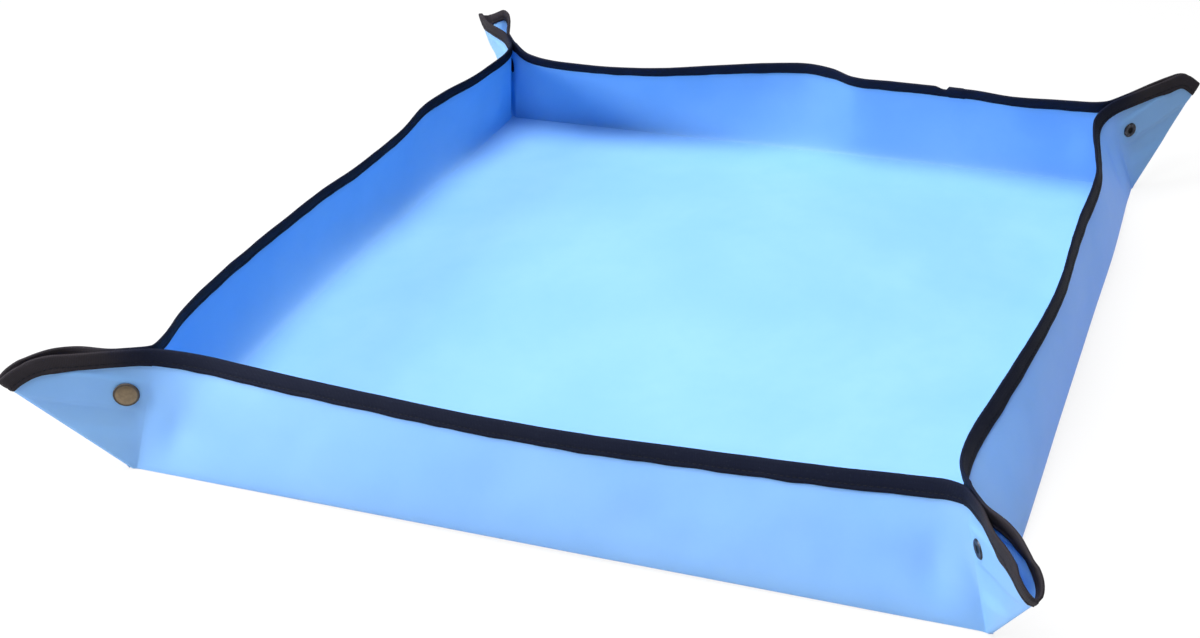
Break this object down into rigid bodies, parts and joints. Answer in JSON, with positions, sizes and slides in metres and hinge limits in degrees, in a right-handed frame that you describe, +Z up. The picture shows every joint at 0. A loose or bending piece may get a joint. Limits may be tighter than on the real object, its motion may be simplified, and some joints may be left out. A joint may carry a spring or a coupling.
{
  "type": "folding potting tray",
  "caption": "Square tray folded from one coated cloth sheet with a bound rim, its corners pinched into ears by snap fasteners; unsnaps and lies flat.",
  "frame": {"origin": "middle of the underside of the base, on the surface that the tray stands on", "axes": "+Z up out of the tray, -Y towards the front wall, +X towards the right wall"},
  "size_m": [0.6196, 0.6257, 0.0845],
  "materials": {
    "cloth": "coated satin weave",
    "binding": "ribbed tape",
    "thread": "matte thread",
    "cap_metal": "antiqued satin",
    "snap_metal": "blackened satin"
  },
  "bodies": {
    "base": {"floor_panel": "cloth"},
    "front": {"front_wall": "cloth", "front_binding": "binding", "front_stitching": "thread"},
    "right": {"right_wall": "cloth", "right_binding": "binding", "right_stitching": "thread"},
    "back": {"back_wall": "cloth", "back_binding": "binding", "back_stitching": "thread"},
    "left": {"left_wall": "cloth", "left_binding": "binding", "left_stitching": "thread"},
    "front_ear_right": {"front_ear_right": "cloth", "front_ear_right_binding": "binding", "front_ear_right_stitching": "thread", "front_right_stud": "snap_metal", "front_right_eyelet": "snap_metal"},
    "front_ear_left": {"front_ear_left": "cloth", "front_ear_left_binding": "binding", "front_ear_left_stitching": "thread", "front_left_cap": "cap_metal", "front_left_socket": "snap_metal"},
    "right_ear_back": {"right_ear_back": "cloth", "right_ear_back_binding": "binding", "right_ear_back_stitching": "thread", "back_right_stud": "snap_metal", "back_right_eyelet": "snap_metal"},
    "right_ear_front": {"right_ear_front": "cloth", "right_ear_front_binding": "binding", "right_ear_front_stitching": "thread", "front_right_cap": "cap_metal", "front_right_socket": "snap_metal"},
    "back_ear_left": {"back_ear_left": "cloth", "back_ear_left_binding": "binding", "back_ear_left_stitching": "thread", "back_left_stud": "snap_metal", "back_left_eyelet": "snap_metal"},
    "back_ear_right": {"back_ear_right": "cloth", "back_ear_right_binding": "binding", "back_ear_right_stitching": "thread", "back_right_cap": "cap_metal", "back_right_socket": "snap_metal"},
    "left_ear_front": {"left_ear_front": "cloth", "left_ear_front_binding": "binding", "left_ear_front_stitching": "thread", "front_left_stud": "snap_metal", "front_left_eyelet": "snap_metal"},
    "left_ear_back": {"left_ear_back": "cloth", "left_ear_back_binding": "binding", "left_ear_back_stitching": "thread", "back_left_cap": "cap_metal", "back_left_socket": "snap_metal"}
  },
  "joints": [
    {"name": "front_fold", "type": "hinge", "parent": "base", "child": "front", "pos_m": [0, -0.262, 0.0005], "axis": [1, 0, 0], "range_deg": [0, 101]},
    {"name": "right_fold", "type": "hinge", "parent": "base", "child": "right", "pos_m": [0.262, 0, 0.0005], "axis": [0, 1, 0], "range_deg": [0, 101]},
    {"name": "back_fold", "type": "hinge", "parent": "base", "child": "back", "pos_m": [0, 0.262, 0.0005], "axis": [-1, 0, 0], "range_deg": [0, 101]},
    {"name": "left_fold", "type": "hinge", "parent": "base", "child": "left", "pos_m": [-0.262, 0, 0.0005], "axis": [0, -1, 0], "range_deg": [0, 101]},
    {"name": "front_ear_right_fold", "type": "hinge", "parent": "front", "child": "front_ear_right", "pos_m": [0.25943, -0.26264, 0.00002], "axis": [-0.2367, 0.2367, 0.9423], "range_deg": [0, 57.72]},
    {"name": "front_ear_left_fold", "type": "hinge", "parent": "front", "child": "front_ear_left", "pos_m": [-0.25835, -0.2627, -0.00024], "axis": [-0.2367, -0.2367, -0.9423], "range_deg": [0, 33.72]},
    {"name": "right_ear_back_fold", "type": "hinge", "parent": "right", "child": "right_ear_back", "pos_m": [0.26266, 0.25899, -0.00009], "axis": [-0.2367, -0.2367, 0.9423], "range_deg": [0, 43.72]},
    {"name": "right_ear_front_fold", "type": "hinge", "parent": "right", "child": "right_ear_front", "pos_m": [0.26269, -0.25851, -0.0002], "axis": [0.2367, -0.2367, -0.9423], "range_deg": [0, 35.72]},
    {"name": "back_ear_left_fold", "type": "hinge", "parent": "back", "child": "back_ear_left", "pos_m": [-0.25929, 0.26265, -0.00002], "axis": [0.2367, -0.2367, 0.9423], "range_deg": [0, 51.72]},
    {"name": "back_ear_right_fold", "type": "hinge", "parent": "back", "child": "back_ear_right", "pos_m": [0.25923, 0.26265, -0.00003], "axis": [0.2367, 0.2367, -0.9423], "range_deg": [0, 49.72]},
    {"name": "left_ear_front_fold", "type": "hinge", "parent": "left", "child": "left_ear_front", "pos_m": [-0.26264, -0.25947, 0.00002], "axis": [0.2367, 0.2367, 0.9423], "range_deg": [0, 59.72]},
    {"name": "left_ear_back_fold", "type": "hinge", "parent": "left", "child": "left_ear_back", "pos_m": [-0.26267, 0.25889, -0.00011], "axis": [-0.2367, 0.2367, -0.9423], "range_deg": [0, 41.72]}
  ],
  "couplings": [
    {"joint": "right_fold", "follows": "front_fold", "ratio": 1},
    {"joint": "back_fold", "follows": "front_fold", "ratio": 1},
    {"joint": "left_fold", "follows": "front_fold", "ratio": 1},
    {"joint": "front_ear_right_fold", "follows": "front_fold", "ratio": 0.5713},
    {"joint": "front_ear_left_fold", "follows": "front_fold", "ratio": 0.33367},
    {"joint": "right_ear_back_fold", "follows": "front_fold", "ratio": 0.43268},
    {"joint": "right_ear_front_fold", "follows": "front_fold", "ratio": 0.35347},
    {"joint": "back_ear_left_fold", "follows": "front_fold", "ratio": 0.51189},
    {"joint": "back_ear_right_fold", "follows": "front_fold", "ratio": 0.49209},
    {"joint": "left_ear_front_fold", "follows": "front_fold", "ratio": 0.5911},
    {"joint": "left_ear_back_fold", "follows": "front_fold", "ratio": 0.41288}
  ]
}
